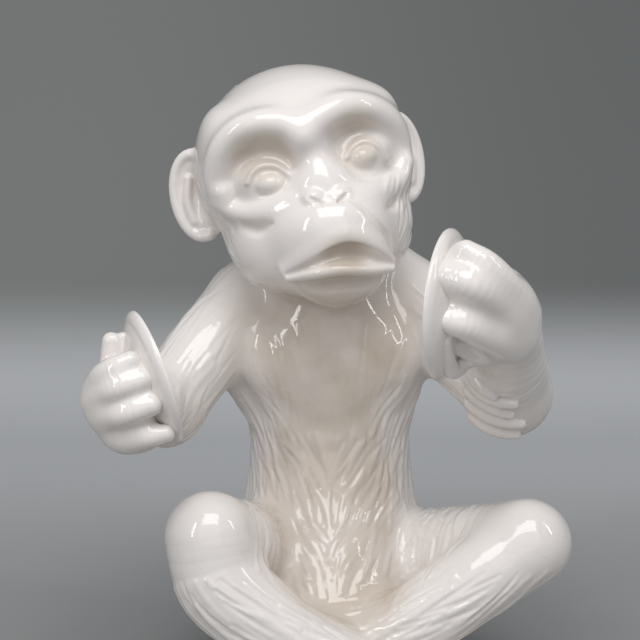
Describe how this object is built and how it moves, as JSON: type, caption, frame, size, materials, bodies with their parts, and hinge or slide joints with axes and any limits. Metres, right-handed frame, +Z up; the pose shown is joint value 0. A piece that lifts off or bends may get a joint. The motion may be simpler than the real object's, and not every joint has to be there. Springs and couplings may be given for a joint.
{
  "type": "monkey figurine",
  "caption": "Seated cross-legged monkey figurine in white glazed earthenware, holding a small dished cymbal in each raised hand.",
  "frame": {"origin": "middle of the seat at the level that the figurine stands on, on the torso's midline", "axes": "+Z up through the seated figure, -Y the way the torso faces, +X towards the monkey's own left"},
  "size_m": [0.2003, 0.1667, 0.2731],
  "materials": {
    "white_glaze": "glossy"
  },
  "bodies": {
    "root": {"torso": "white_glaze", "head": "white_glaze", "ear_right": "white_glaze", "ear_left": "white_glaze", "arm_right": "white_glaze", "arm_left": "white_glaze", "hand_right": "white_glaze", "hand_left": "white_glaze", "cymbal_right": "white_glaze", "cymbal_left": "white_glaze", "leg_right": "white_glaze", "leg_left": "white_glaze", "foot_right": "white_glaze", "foot_left": "white_glaze"}
  },
  "joints": []
}
